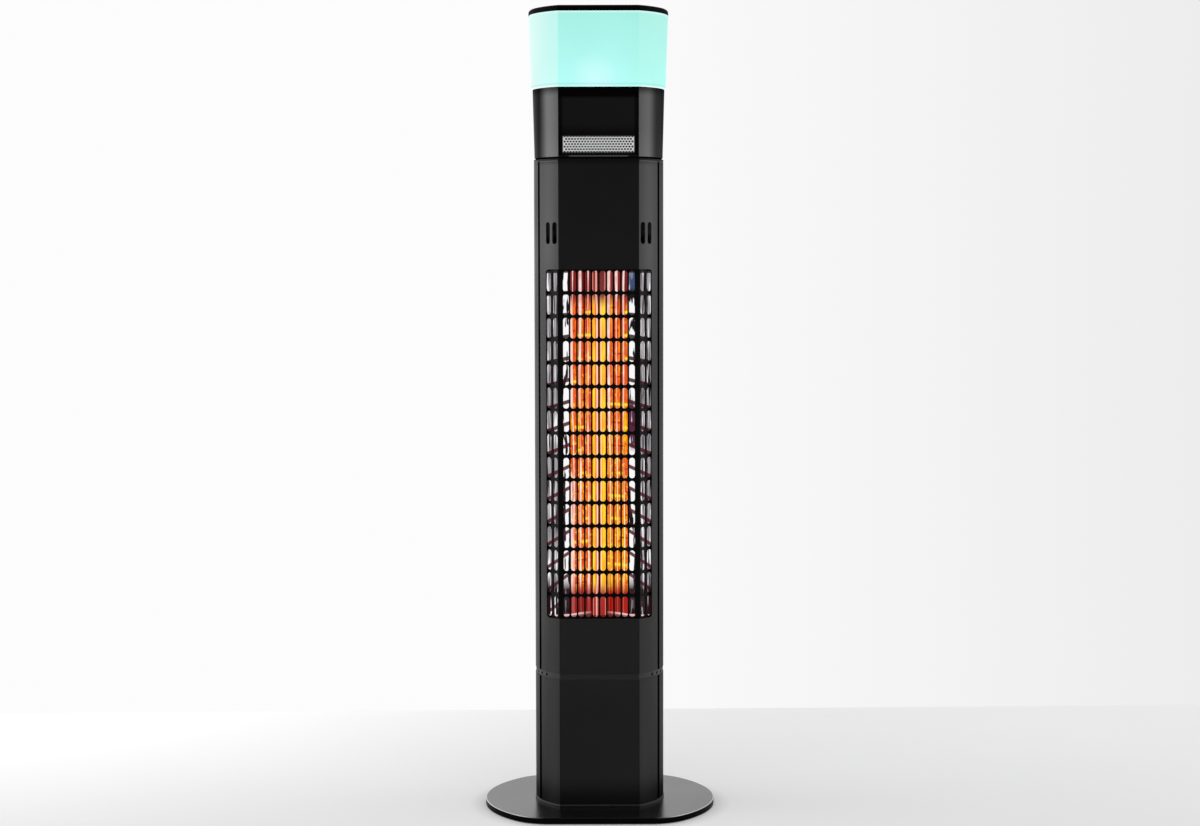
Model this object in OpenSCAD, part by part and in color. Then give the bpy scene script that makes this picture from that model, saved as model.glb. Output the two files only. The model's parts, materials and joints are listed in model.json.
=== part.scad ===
// Infrared patio heater tower with a loudspeaker and a lamp in its head.
// Millimetres, +Z up. The origin is the middle of the footprint, on the floor.
// The front, with the guard window, faces -Y. Angles round the tower count from -Y towards +X.

/* [Base] */
// Radius of the steel base plate
base_r = 161; // [145:1:200]
// How far the base plate's flat front and back lie inside the round
base_cut = 28.6; // [20:0.2:32]
// Radius of the corners between the flats and the round of the base plate
base_round = 65; // [30:1:80]
// Thickness of the base plate
base_t = 8.5; // [7:0.5:12]
// Bevel round the top edge of the base plate
base_bevel = 1.2; // [0.5:0.1:2]
// Height of the base plate's underside above the floor
foot_proud = 1; // [0.8:0.1:3]
// Radius of a rubber foot
foot_r = 15; // [10:0.5:20]

/* [Tower section] */
// Radius of the housings
body_r = 90; // [86:0.5:96]
// How far the flat front and the flat back lie inside the round
flat_cut = 18.8; // [16:0.2:21]
// Thickness of the sheet covers
wall = 2; // [1.5:0.1:2.5]
// Angle of the two side grooves
groove_a = 66.3; // [65:0.1:68]
// Width of a side groove along the surface
groove_w = 7.2; // [5:0.1:8.5]
// Depth of a side groove
groove_d = 5; // [3.5:0.1:6]

/* [Heights] */
// Height of the plinth band
plinth_h = 3.5; // [3.2:0.1:8]
// Height of the pedestal covers
pedestal_h = 175.2; // [130:0.2:260]
// Height of the vent ring
ring_h = 8; // [6:0.1:14]
// Height of the main covers
main_h = 706; // [690:1:800]
// Height of the main covers above the window
top_h = 148.6; // [140:0.1:180]
// Height of the collar on the main housing
collar_h = 3; // [2.8:0.1:6]
// Height of the head with the speaker
head_h = 96; // [90:1:130]
// Height of the lamp
lamp_h = 101.5; // [80:0.5:140]
// Height of the lid
lid_h = 8; // [6:0.1:12]

/* [Guard window] */
// Height of the window's lower edge above the foot of the main housing
sill_h = 76.4; // [60:0.1:90]
// Angle at which the window's sides end
window_a = 53.8; // [51:0.1:55]
// Corner radius of the window
window_corner = 4; // [2:0.1:6]
// Rows of cells in the guard
guard_rows = 15; // [10:1:18]
// Columns of cells in the guard's front
guard_cols = 10; // [8:1:12]
// Thickness of the guard sheet
guard_t = 1.8; // [1.2:0.1:2.2]
// Height of a bar between two rows
guard_bar_h = 3.6; // [2:0.1:4.5]
// Width of a bar between two columns
guard_bar_w = 2.4; // [1.6:0.1:3]
// Width of the guard's front corner posts
guard_post_w = 5.8; // [4:0.1:8]

/* [Heater] */
// Focal length of the reflector trough
focal = 15.4; // [14.5:0.1:16.5]
// Half of the width of the trough's parabola
dish_half = 40; // [34:0.5:42]
// Thickness of the reflector sheet
reflector_t = 1.2; // [0.8:0.1:1.6]
// Radius of the quartz tube
tube_r = 9; // [7.5:0.1:10]
// Wall of the quartz tube
tube_wall = 1; // [0.8:0.1:1.4]
// Mean radius of the heating spiral
spiral_r = 5; // [4:0.1:5.6]
// Rise of the spiral in one turn
spiral_pitch = 9; // [8:0.1:12]
// Height of the spiral's ribbon
ribbon_w = 4.6; // [3:0.1:5.5]
// Thickness of the spiral's ribbon
ribbon_t = 0.8; // [0.5:0.1:1.2]

/* [Vents] */
// Angle of the vent slot nearer to the front
slot_a = 42.2; // [41.5:0.1:43.5]
// Angle from one vent slot to the next
slot_step = 8.5; // [7:0.1:9]
// Width of a vent slot
slot_w = 8.4; // [5:0.1:9.2]
// Height of a vent slot
slot_h = 30; // [20:1:40]
// Angle of the foremost hole in the vent ring
hole_a = 51; // [48:0.5:54]
// Angle from one hole of the vent ring to the next
hole_step = 8.75; // [7:0.05:10]
// Width of a hole in the vent ring
hole_w = 4; // [2:0.1:4.6]

/* [Head and lamp] */
// How far the head's foot is set in from the main housing
neck_set = 1; // [0:0.1:3]
// How far the flats of the head's foot are set in
neck_flat_set = 0.7; // [0:0.1:3]
// How far the head flares out
head_flare = 2.5; // [1:0.1:6]
// How far the head's flats flare out
head_flare_flat = 3; // [1:0.1:6]
// How far the lamp's foot stands out over the head
lamp_over = 1.6; // [0:0.1:2]
// How far the lamp flares out
lamp_flare = 3.4; // [1:0.1:8]
// How far the lamp's flats flare out
lamp_flare_flat = 4; // [1:0.1:8]
// Wall of the head and of the lamp diffuser
shell_t = 2.5; // [2:0.1:3]
// Width of the front panel beside the speaker grille's opening
panel_side = 5.1; // [4.5:0.1:9]
// Height of the speaker grille's opening
grille_h = 24.4; // [22:0.1:26]
// Distance between the grille's holes
grille_pitch = 4; // [3.6:0.1:6]
// Radius of a hole in the grille
grille_hole_r = 1.45; // [1:0.05:1.6]
// How far the lid stands out over the lamp
lid_over = 0.3; // [0.1:0.1:2]
// Rounding of the lid's upper edge
lid_round = 4; // [1.5:0.1:5]

/* [Rear] */
// Radius of the cord inlet's bore
inlet_r = 4; // [3:0.1:5]
// Distance of the inlet and of the mains switch from the middle of the back
rear_x = 34; // [32:0.5:38]
// Height of the inlet and of the switch above the plinth
rear_h = 42; // [30:1:80]
// Half of the angle that the mains switch rocks through
rock_a = 8; // [6:0.5:8]

/* [Hidden] */
$fn = 72;

// Clearance between sheet parts that sit side by side
gap = 0.3;
// Radial clearance of a pin or plunger that runs in its hole
running = 0.05;
// How far a cutting tool reaches past what it cuts
over = 10;
// Steps of a quarter arc in an outline
arc_steps = 4;
// Steps of a quarter arc in a guard cell
cell_steps = 2;
// Steps of a wedge that picks a stretch of the section
fan_steps = 6;

// Heights of the seams
z_disc = foot_proud + base_t;
z_pedestal = z_disc + plinth_h;
z_ring = z_pedestal + pedestal_h;
z_main = z_ring + ring_h;
z_collar = z_main + main_h;
z_head = z_collar + collar_h;
z_lamp = z_head + head_h;
z_lid = z_lamp + lamp_h;
z_window = z_main + sill_h;
z_window_top = z_collar - top_h;
window_h = z_window_top - z_window;
slot_z = z_window_top + top_h / 3;

// Flats, and the inner faces of the covers
body_flat = body_r - flat_cut;
in_r = body_r - wall;
in_flat = body_flat - wall;

// Angles at which the front and rear covers end
groove_half_a = groove_w / body_r * 90 / PI;
front_a = groove_a - groove_half_a;
rear_a = groove_a + groove_half_a;

// Rails behind the grooves
rail_lip = 5;
rail_floor = 2.5;
rail_a = groove_half_a + rail_lip / body_r * 180 / PI;
groove_floor_r = body_r - groove_d;
rail_r = groove_floor_r - rail_floor;

// Base parts; the plate's round corners have their centres at base_corner_x and base_corner_y
base_flat = base_r - base_cut;
base_corner_y = base_flat - base_round;
base_corner_x = sqrt((base_r - base_round) * (base_r - base_round) - base_corner_y * base_corner_y);
foot_t = 3.5;
foot_inset = 7;
foot_circle_r = base_r - foot_r - foot_inset;
foot_count = 4;
screw_r = 3;
screw_head_r = 5.5;
screw_head_t = 3.5;
screw_sink = 4;
screw_x = 45;
screw_y = 36;
nut_r = 5.6;
nut_t = 5;
foot_flange_t = 3;
plinth_w = 6;
plinth_out = 0.8;
plinth_round = 1;
loose = 0.3;
screw_hole_r = screw_r + gap;
z_flange_top = z_disc + foot_flange_t;

// Spine behind the heater
spine_w = 40;
spine_d = 15;
spine_t = 2;
spine_y = in_flat - spine_d;

// Vent ring
ring_recess = 0.7;
ring_w = 10;
hole_long = 0.8;
ring_slot_h = hole_w + hole_long;

// Collar and head seam
collar_round = 1.2;
collar_land = 11.2;
seam_h = 1.8;
seam_set = 1.4;

// Tip-over switch
tip_y = -30;
plunger_r = 3.2;
plunger_head_r = 4.8;
plunger_head_t = 2;
plunger_lift = 0.3;
plunger_travel = 5.5;
tip_guide_h = 7.5;
tip_room_h = 16;
tip_roof = 4;
tip_w = 20;
tip_d = 16;
tip_room_r = 5.2;
tip_guide_top = z_flange_top + tip_guide_h;
tip_room_top = tip_guide_top + tip_room_h;
plunger_head_z = tip_guide_top + plunger_travel + gap;
spring_turns = 5;
spring_rings = 12;
spring_wire = 0.6;
spring_coil_r = 3.6;

// Guard
window_half = body_r * sin(window_a);
guard_set = 3.5;
guard_y = in_flat - guard_set;
guard_corner_out = 1;
guard_corner_x = sqrt(body_r * body_r - body_flat * body_flat) + guard_corner_out;
cell_round_share = 0.43;
guard_margin = 4;
wing_bar = 3;
wing_first = 1.6;
wing_clear_a = 2;
wing_a = groove_a - rail_a - wing_clear_a;
wing_tip = ray(wing_a, in_r - 2 * gap);
wing_dx = wing_tip[0] - guard_corner_x;
wing_dy = wing_tip[1] + guard_y;
wing_len = sqrt(wing_dx * wing_dx + wing_dy * wing_dy);
wing_turn = atan2(wing_dy, wing_dx);
wing_reach = (window_half - guard_corner_x) / cos(wing_turn) + gap;
wing_cell_w = (wing_reach - wing_first - wing_bar) / 2;
row_pitch = window_h / guard_rows;
cell_h = row_pitch - guard_bar_h;
front_cells_half = guard_corner_x - guard_post_w;
col_pitch = 2 * front_cells_half / guard_cols;
cell_w = col_pitch - guard_bar_w;

// Reflector trough
dish_back = 5;
dish_steps = 20;
lip_turn = 13.6;
lip_drop = 2.1;
lip_tip_a = 64;
lip_tip = ray(lip_tip_a, rail_r - 2 * gap);
plate_t = 1;
heater_over = 1.3;
z_heater = z_window - heater_over;
z_heater_top = z_window_top + heater_over;
heater_h = z_heater_top - z_heater;
tube_y = -dish_back - focal;
tube_play = 1.2;
tube_hole_r = tube_r + tube_play;
tube_out = 13;
shield_half = 58;
shield_back = 14;
shield_front = -18;
shield_t = 1;
cap_wall = 3;
cap_r = tube_r + cap_wall;
cap_h = 22;
cap_seat = 8;
cap_fit = 0.1;
bracket_t = 2;
bracket_half = 20;
bracket_d = 16;
bracket_gap = 18;
cutout_r = 8;
cutout_t = 6;
cutout_x = 25;

// Heating spiral and its end clamps
clamp_h = 24;
clamp_low_h = 30;
clamp_r = 5.4;
lead_r = 1.5;
spiral_z = z_heater + clamp_low_h;
spiral_h = heater_h - clamp_h - clamp_low_h;
spiral_turns = floor((spiral_h - ribbon_w) / spiral_pitch);
spiral_rings = 12;
spiral_rise = spiral_h - ribbon_w - gap;

// Electronics
bay_low = 26;
bay_top = 12.1;
bay_h = top_h - bay_low - bay_top;
bay_half = 56;
bay_y = 30;
bay_t = 1.5;
z_bay = z_window_top + bay_low;
board_half = 48;
board_rim = 10;
board_h = bay_h - 2 * board_rim;
board_t = 1.6;
post_r = 3;
post_h = 6;
post_inset = 6;
relay = [28, 13, 16];
transformer = [34, 26, 30];
capacitor_r = 9;
capacitor_h = 24;
terminal = [40, 22, 18];
terminal_gap = 2;

// Head
neck_r = body_r - neck_set;
neck_flat = body_flat - neck_flat_set;
head_a = atan(head_flare_flat / head_h);
panel_half = sqrt(neck_r * neck_r - neck_flat * neck_flat);
panel_t = 1.8;
panel_gap = 0.4;
panel_lift = seam_h;
panel_chamfer = 1.5;
grille_half = panel_half - panel_side;
grille_low = 6.4;
grille_t = 0.8;
grille_rim = 2;
grille_side = 2;
baffle_over = 4.3;
baffle_low = grille_low - baffle_over;
baffle_half = panel_half - gap;
baffle_h = grille_h + 2 * baffle_over;
baffle_rim = 2;
baffle_depth = 3.8;
baffle_t = 2;
driver_x = 26;
driver_hole_r = 12;
driver_z = grille_low + grille_h / 2;
driver_y = panel_t + baffle_depth + baffle_t;
control_half = 42;
control_gap = 15.7;
control_top = 12;
control_low = baffle_low + baffle_h + control_gap;
control_h = head_h - control_low - control_top;
control_post = 5;
control_post_r = 2.5;

// Profiles of a driver: radius, then depth behind the baffle
basket_r = 15;
basket_wall = 1;
basket_lip = 3;
basket_lip_t = 1.2;
basket_depth = 9;
coil_hole_r = 4.8;
magnet_r = 11;
magnet_d = 6;
magnet_back = 2;
pole_r = 3;
surround_in_r = 10.3;
surround_t = 0.9;
cone_r = 10;
cone_edge = 0.6;
cone_neck_r = 4;
cone_neck_d = 5.4;
cone_wall = 0.6;
coil_end = 9.6;
cone_front = 0.4;
dust_d = 3;

// Lamp
lamp_flat = neck_flat + head_flare_flat;
lid_r = neck_r + head_flare + lamp_over + lamp_flare + lid_over;
lid_flat = lamp_flat + lamp_over + lamp_flare_flat + lid_over;
lamp_base_t = 3.5;
lamp_wire_r = 12;
led_rim = 10.4;
led_board_r = lamp_flat - shell_t - led_rim;
led_board_t = 1.6;
led_count = 12;
led_circle_r = led_board_r - lamp_wire_r;
led_size = 5;
led_t = 1.4;
lamp_post_r = 9;

// Rear parts
gland_wall = 4;
gland_r = inlet_r + gland_wall;
gland_flange_r = 11;
gland_flange_t = 5;
gland_step = 2;
gland_dome_h = 11;
gland_in = 11;
gland_nut_r = 12.5;
gland_nut_t = 5;
switch_w = 15;
switch_h = 21;
switch_lip = 1;
switch_rim = 2;
switch_depth = 16;
switch_side = 1.8;
switch_floor = 5;
rocker_set = 3;
rocker_half = 7.8;
rocker_waist = 4;
rocker_deep = 5;
rocker_rise = 5;
rocker_dip = 1.4;
rocker_play = 0.3;
trunnion_r = 1.2;
trunnion_out = 0.9;
cover_screw_r = 2;
cover_head_r = 4;
cover_head_t = 1.6;
cover_screw_len = 4;
pedestal_screw_shares = [0.25, 0.85];
main_screw_shares = [0.04, 0.35, 0.65, 0.96];
louvre_w = 30;
louvre_h = 4;
louvre_count = 6;
louvre_pitch = 10;
louvre_x = 37;

// A point at an angle round the tower and a distance from its axis
function ray(a, r) = [r * sin(a), -r * cos(a)];

// Outline of a rectangle with round corners
function round_points(x, z, w, h, r, steps) = [
  for (q = [0:3])
    let (sx = q == 0 || q == 3 ? 1 : -1, sz = q < 2 ? 1 : -1)
      for (k = [0:steps])
        let (a = 90 * (q + k / steps))
          [x + sx * (w / 2 - r) + r * cos(a), z + sz * (h / 2 - r) + r * sin(a)]
];

// Half profile of a slab with a rounded upper edge, from its edge to the middle
function rim_points(edge, h, round) = [
  for (k = [0:arc_steps])
    let (a = 90 * k / arc_steps)
      [edge - round + round * cos(a), h - round + round * sin(a)]
];

module mirror_x() {
  children();
  mirror([1, 0, 0])
    children();
}

// Section of the housings: a circle with a flat front and a flat back
module outline(r, flat) {
  intersection() {
    circle(r);
    square([2 * r, 2 * flat], center=true);
  }
}

module outline_band(r, flat, t) {
  difference() {
    outline(r, flat);
    outline(r - t, flat - t);
  }
}

// Wedge between two angles round the tower
module fan(a0, a1) {
  polygon(concat([[0, 0]], [for (k = [0:fan_steps]) ray(a0 + (a1 - a0) * k / fan_steps, 2 * body_r)]));
}

module cover_section(a0, a1) {
  intersection() {
    outline_band(body_r, body_flat, wall);
    fan(a0, a1);
  }
}

// Slab of the housings' section with a rounded upper edge
module rimmed_slab(r, flat, h, round) {
  flat_rim = rim_points(flat, h, round);
  intersection() {
    rotate_extrude()
      polygon(concat([[0, 0], [r, 0]], rim_points(r, h, round), [[0, h]]));
    rotate([90, 0, 90])
      translate([0, 0, -r])
        linear_extrude(2 * r)
          polygon(concat(
            [[-flat, 0], [flat, 0]],
            flat_rim,
            [for (k = [arc_steps:-1:0]) [-flat_rim[k][0], flat_rim[k][1]]]
          ));
  }
}

// Solid of the housings' section between two heights, given its radius and its flats at both
module tapered(z0, z1, r0, r1, f0, f1) {
  intersection() {
    translate([0, 0, z0])
      cylinder(h=z1 - z0, r1=r0, r2=r1);
    rotate([90, 0, 90])
      translate([0, 0, -2 * body_r])
        linear_extrude(4 * body_r)
          polygon([[-f0, z0], [f0, z0], [f1, z1], [-f1, z1]]);
  }
}

// The flaring head between two heights, its sides set in by a distance
module head_form(z0, z1, inset) {
  s0 = (z0 - z_head) / head_h;
  s1 = (z1 - z_head) / head_h;
  r = neck_r - inset;
  flat = neck_flat - inset;
  tapered(
    z0, z1, r + head_flare * s0, r + head_flare * s1,
    flat + head_flare_flat * s0, flat + head_flare_flat * s1
  );
}

// The flaring lamp between two heights, its sides set in by a distance
module lamp_form(z0, z1, inset) {
  s0 = (z0 - z_lamp) / lamp_h;
  s1 = (z1 - z_lamp) / lamp_h;
  r = neck_r + head_flare + lamp_over - inset;
  flat = lamp_flat + lamp_over - inset;
  tapered(
    z0, z1, r + lamp_flare * s0, r + lamp_flare * s1,
    flat + lamp_flare_flat * s0, flat + lamp_flare_flat * s1
  );
}

// Space of the head's front: its foot is the origin, +Y goes in and +Z climbs the flat
module on_front() {
  translate([0, -neck_flat, z_head])
    rotate([head_a, 0, 0])
      children();
}

// Stands a flat shape, drawn in X and Z, upright: it is t thick, from -t to 0 in Y
module upright(t) {
  rotate([90, 0, 0])
    linear_extrude(t)
      children();
}

module stadium(w, h) {
  square([w, h - w], center=true);
  for (s = [-1, 1])
    translate([0, s * (h - w) / 2])
      circle(w / 2);
}

// Cuts a slot through a curved wall at an angle round the tower
module radial_slot(a, z, w, h, r, depth) {
  rotate([0, 0, a])
    translate([0, -r + depth, z])
      upright(depth + over)
        stadium(w, h);
}

// Base

module bevelled_disc(r) {
  rotate_extrude()
    polygon([[0, 0], [r, 0], [r, base_t - base_bevel], [r - base_bevel, base_t], [0, base_t]]);
}

// Round plate whose flat front and back run into the round over round corners
module base_form() {
  fan_x = 2 * base_r * base_corner_x / base_corner_y;
  low = base_t - base_bevel;
  in = base_flat - base_bevel;
  union() {
    intersection() {
      bevelled_disc(base_r);
      linear_extrude(base_t)
        for (s = [-1, 1])
          polygon([[0, 0], [s * fan_x, -2 * base_r], [s * fan_x, 2 * base_r]]);
    }
    for (sx = [-1, 1], sy = [-1, 1])
      translate([sx * base_corner_x, sy * base_corner_y, 0])
        bevelled_disc(base_round);
    rotate([90, 0, 90])
      translate([0, 0, -base_corner_x])
        linear_extrude(2 * base_corner_x)
          polygon([
            [-base_flat, 0], [base_flat, 0], [base_flat, low],
            [in, base_t], [-in, base_t], [-base_flat, low]
          ]);
  }
}

module base_plate() {
  color("#1b1b1c")
    difference() {
      translate([0, 0, foot_proud])
        base_form();
      for (k = [0:foot_count - 1])
        rotate([0, 0, 360 * (k + 0.5) / foot_count])
          translate([foot_circle_r, 0, foot_t - over])
            cylinder(h=over, r=foot_r + loose);
      for (x = [-screw_x, screw_x], y = [-screw_y, screw_y]) {
        translate([x, y, foot_proud - over])
          cylinder(h=over + screw_sink, r=screw_head_r + gap);
        translate([x, y, 0])
          cylinder(h=z_disc + over, r=screw_hole_r);
      }
      translate([0, tip_y, 0])
        cylinder(h=z_disc + over, r=plunger_r + gap);
    }
}

module base_feet() {
  color("#202020")
    for (k = [0:foot_count - 1])
      rotate([0, 0, 360 * (k + 0.5) / foot_count])
        translate([foot_circle_r, 0, 0])
          cylinder(h=foot_t, r=foot_r);
}

module base_screws() {
  color("#8c8f93")
    for (x = [-screw_x, screw_x], y = [-screw_y, screw_y])
      translate([x, y, foot_proud + screw_sink - screw_head_t])
        union() {
          cylinder(h=screw_head_t, r=screw_head_r);
          cylinder(h=z_flange_top + nut_t + plate_t - foot_proud - screw_sink + screw_head_t, r=screw_r);
        }
}

module base_nuts() {
  color("#9a9da1")
    for (x = [-screw_x, screw_x], y = [-screw_y, screw_y])
      translate([x, y, z_flange_top])
        difference() {
          cylinder(h=nut_t, r=nut_r, $fn=6);
          translate([0, 0, -over])
            cylinder(h=2 * over + nut_t, r=screw_r + cap_fit);
        }
}

module foot_flange() {
  color("#5a5c60")
    translate([0, 0, z_disc])
      difference() {
        linear_extrude(foot_flange_t)
          outline(body_r - plinth_w - gap, body_flat - plinth_w - gap);
        for (x = [-screw_x, screw_x], y = [-screw_y, screw_y])
          translate([x, y, -over])
            cylinder(h=2 * over, r=screw_hole_r);
        translate([0, tip_y, -over])
          cylinder(h=2 * over, r=plunger_r + gap);
      }
}

module plinth_ring() {
  color("#232324")
    translate([0, 0, z_disc])
      difference() {
        rimmed_slab(body_r + plinth_out, body_flat + plinth_out, plinth_h, plinth_round);
        translate([0, 0, -over])
          linear_extrude(2 * over) {
            outline(body_r - plinth_w, body_flat - plinth_w);
            spine_room();
          }
      }
}

// Room for the spine in a ring that it passes
module spine_room() {
  translate([-spine_w / 2 - gap, spine_y - gap])
    square([spine_w + 2 * gap, spine_d + 2 * gap]);
}

// Tip-over switch

module tip_switch() {
  color("#2a2a2c")
    difference() {
      translate([-tip_w / 2, tip_y - tip_d / 2, z_flange_top])
        cube([tip_w, tip_d, tip_guide_h + tip_room_h + tip_roof]);
      translate([0, tip_y, z_flange_top - over])
        cylinder(h=over + tip_guide_h + gap, r=plunger_r + running);
      translate([0, tip_y, tip_guide_top])
        cylinder(h=tip_room_h, r=tip_room_r);
    }
}

module tip_plunger() {
  color("#c9c6bd")
    translate([0, tip_y, 0])
      union() {
        translate([0, 0, plunger_lift])
          cylinder(h=plunger_head_z + plunger_head_t - plunger_lift, r=plunger_r);
        translate([0, 0, plunger_head_z])
          cylinder(h=plunger_head_t, r=plunger_head_r);
      }
}

// Closed tube of square wire swept along a helix
module helix(r, rise, turns, rings, wire_r, wire_z) {
  n = turns * rings;
  corners = [[-1, -1], [1, -1], [1, 1], [-1, 1]] / 2;
  points = [
    for (i = [0:n])
      let (a = 360 * i / rings, z = rise * i / n)
        for (c = corners)
          [(r + c[0] * wire_r) * cos(a), (r + c[0] * wire_r) * sin(a), z + c[1] * wire_z]
  ];
  sides = [
    for (i = [0:n - 1], k = [0:3])
      let (p = 4 * i + k, q = 4 * i + (k + 1) % 4)
        each [[p, p + 4, q + 4], [p, q + 4, q]]
  ];
  ends = [[0, 1, 2], [0, 2, 3], [4 * n + 2, 4 * n + 1, 4 * n], [4 * n + 3, 4 * n + 2, 4 * n]];
  polyhedron(points, concat(sides, ends));
}

module tip_spring() {
  foot = plunger_head_z + plunger_head_t + gap + spring_wire / 2;
  color("#b5b8bc")
    translate([0, tip_y, foot])
      helix(
        spring_coil_r, tip_room_top - foot - spring_wire,
        spring_turns, spring_rings, spring_wire, spring_wire
      );
}

// Pedestal and main housings

module cover_screw_places() {
  for (s = pedestal_screw_shares)
    translate([0, body_flat, z_pedestal + s * pedestal_h])
      children();
  for (s = main_screw_shares)
    translate([0, body_flat, z_main + s * main_h])
      children();
}

module cover_screw_holes() {
  cover_screw_places()
    translate([0, over, 0])
      upright(4 * over)
        circle(cover_screw_r + gap);
}

module pedestal_front() {
  color("#262627")
    translate([0, 0, z_pedestal])
      linear_extrude(pedestal_h)
        cover_section(-front_a, front_a);
}

module pedestal_rear() {
  color("#262627")
    difference() {
      translate([0, 0, z_pedestal])
        linear_extrude(pedestal_h)
          cover_section(rear_a, 360 - rear_a);
      translate([-rear_x, body_flat + over, z_pedestal + rear_h])
        upright(3 * over)
          circle(gland_r + gap);
      translate([rear_x, body_flat + over, z_pedestal + rear_h])
        upright(3 * over)
          square([switch_w - 2 * switch_lip + gap, switch_h - 2 * switch_lip + gap], center=true);
      cover_screw_holes();
    }
}

module rail_section() {
  difference() {
    intersection() {
      difference() {
        circle(in_r - gap);
        circle(rail_r);
      }
      fan(groove_a - rail_a, groove_a + rail_a);
    }
    intersection() {
      difference() {
        circle(body_r);
        circle(groove_floor_r);
      }
      fan(front_a, rear_a);
    }
  }
}

module pedestal_rails() {
  color("#0c0c0d")
    translate([0, 0, z_pedestal])
      linear_extrude(pedestal_h)
        mirror_x()
          rail_section();
}

module main_rails() {
  color("#0c0c0d")
    translate([0, 0, z_main])
      linear_extrude(main_h)
        mirror_x()
          rail_section();
}

module spine() {
  color("#8d9094")
    difference() {
      translate([0, 0, z_flange_top])
        linear_extrude(z_collar - z_flange_top)
          difference() {
            translate([-spine_w / 2, spine_y])
              square([spine_w, spine_d]);
            translate([-spine_w / 2 + spine_t, spine_y - spine_t])
              square([spine_w - 2 * spine_t, spine_d]);
          }
      cover_screw_holes();
    }
}

module vent_ring() {
  count = floor((180 - 2 * hole_a) / hole_step);
  first = 90 - count * hole_step / 2;
  color("#2f2f31")
    translate([0, 0, z_ring])
      difference() {
        linear_extrude(ring_h)
          difference() {
            outline_band(body_r - ring_recess, body_flat - ring_recess, ring_w - ring_recess);
            spine_room();
          }
        for (s = [-1, 1], k = [0:count])
          radial_slot(s * (first + k * hole_step), ring_h / 2, hole_w, ring_slot_h, body_r, ring_w + over);
      }
}

module front_cover() {
  color("#262627")
    difference() {
      translate([0, 0, z_main])
        linear_extrude(main_h)
          cover_section(-front_a, front_a);
      upright(body_r + over)
        polygon(round_points(0, z_window + window_h / 2, 2 * window_half, window_h, window_corner, arc_steps));
      for (s = [-1, 1], k = [0, 1])
        radial_slot(s * (slot_a + k * slot_step), slot_z, slot_w, slot_h, body_r, 2 * wall);
    }
}

module rear_cover() {
  color("#262627")
    difference() {
      translate([0, 0, z_main])
        linear_extrude(main_h)
          cover_section(rear_a, 360 - rear_a);
      cover_screw_holes();
      for (s = [-1, 1], k = [0:louvre_count - 1])
        translate([s * louvre_x, body_flat + over, z_bay + bay_low + k * louvre_pitch])
          upright(3 * over)
            rotate(90)
              stadium(louvre_h, louvre_w);
    }
}

module collar() {
  color("#232324")
    difference() {
      union() {
        translate([0, 0, z_collar])
          rimmed_slab(body_r, body_flat, collar_h, collar_round);
        translate([0, 0, z_collar])
          linear_extrude(collar_h + seam_h)
            outline(neck_r - seam_set, neck_flat - seam_set);
      }
      translate([0, 0, z_collar - over])
        cylinder(h=2 * over + collar_h, r=body_flat - collar_land);
    }
}

module cover_screws() {
  color("#3a3b3d")
    cover_screw_places() {
      union() {
        translate([0, cover_head_t, 0])
          upright(cover_head_t)
            circle(cover_head_r);
        translate([0, cover_head_t, 0])
          upright(cover_head_t + cover_screw_len + wall + spine_t)
            circle(cover_screw_r);
      }
    }
}

// Heater cartridge

module cell_sheet(x0, x1, z0, z1, xs, w) {
  difference() {
    translate([x0, z0])
      square([x1 - x0, z1 - z0]);
    for (x = xs, k = [0:guard_rows - 1])
      polygon(round_points(x, z_window + (k + 0.5) * row_pitch, w, cell_h, cell_round_share * w, cell_steps));
  }
}

module guard_grille() {
  z0 = z_window - guard_margin;
  z1 = z_window_top + guard_margin;
  color("#060606")
    union() {
      translate([0, guard_t - guard_y, 0])
        upright(guard_t)
          cell_sheet(
            -guard_corner_x, guard_corner_x, z0, z1,
            [for (k = [0:guard_cols - 1]) (k + 0.5) * col_pitch - front_cells_half], cell_w
          );
      mirror_x()
        translate([guard_corner_x, -guard_y, 0])
          rotate([0, 0, wing_turn])
            translate([0, guard_t, 0])
              upright(guard_t)
                cell_sheet(
                  0, wing_len, z0, z1,
                  [for (k = [0, 1]) wing_first + wing_cell_w / 2 + k * (wing_cell_w + wing_bar)], wing_cell_w
                );
      for (z = [z0, z1 - guard_t])
        translate([-front_cells_half, -in_flat, z])
          cube([2 * front_cells_half, guard_set + guard_t, guard_t]);
    }
}

// Front face of the trough: a parabola, then a shallow lip on each side
function dish_y(x) = -dish_back - x * x / (4 * focal);
function trough_half() = concat(
  [for (k = [0:dish_steps]) let (x = dish_half * k / dish_steps) [x, dish_y(x)]],
  [[lip_tip[0] - lip_turn, lip_tip[1] - lip_drop], lip_tip]
);
function trough_points() = let (half = trough_half(), n = len(half) - 1) concat(
  [for (k = [n:-1:1]) [-half[k][0], half[k][1]]],
  half
);

module reflector() {
  face = trough_points();
  n = len(face) - 1;
  color("#dcdde0")
    translate([0, 0, z_heater])
      linear_extrude(heater_h)
        polygon(concat(face, [for (k = [n:-1:0]) [face[k][0], face[k][1] + reflector_t]]));
}

module both_ends() {
  children();
  translate([0, 0, z_heater + z_heater_top])
    mirror([0, 0, 1])
      children();
}

module reflector_plates() {
  half = [
    [guard_corner_x - 2 * guard_t, guard_t + gap - guard_y],
    ray(wing_a, in_r - 2 * guard_t - gap),
    ray(wing_a + wing_clear_a / 2, rail_r - 2 * gap),
    lip_tip,
    [shield_half + shield_t, shield_back + 2 * shield_t],
    [spine_w / 2, shield_back + 2 * shield_t],
    [spine_w / 2, spine_y]
  ];
  n = len(half) - 1;
  color("#cfd0d2")
    both_ends()
      translate([0, 0, z_heater - plate_t])
        difference() {
          linear_extrude(plate_t)
            polygon(concat(half, [for (k = [n:-1:0]) [-half[k][0], half[k][1]]]));
          translate([0, tube_y, -over])
            cylinder(h=2 * over, r=tube_hole_r);
        }
}

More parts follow.
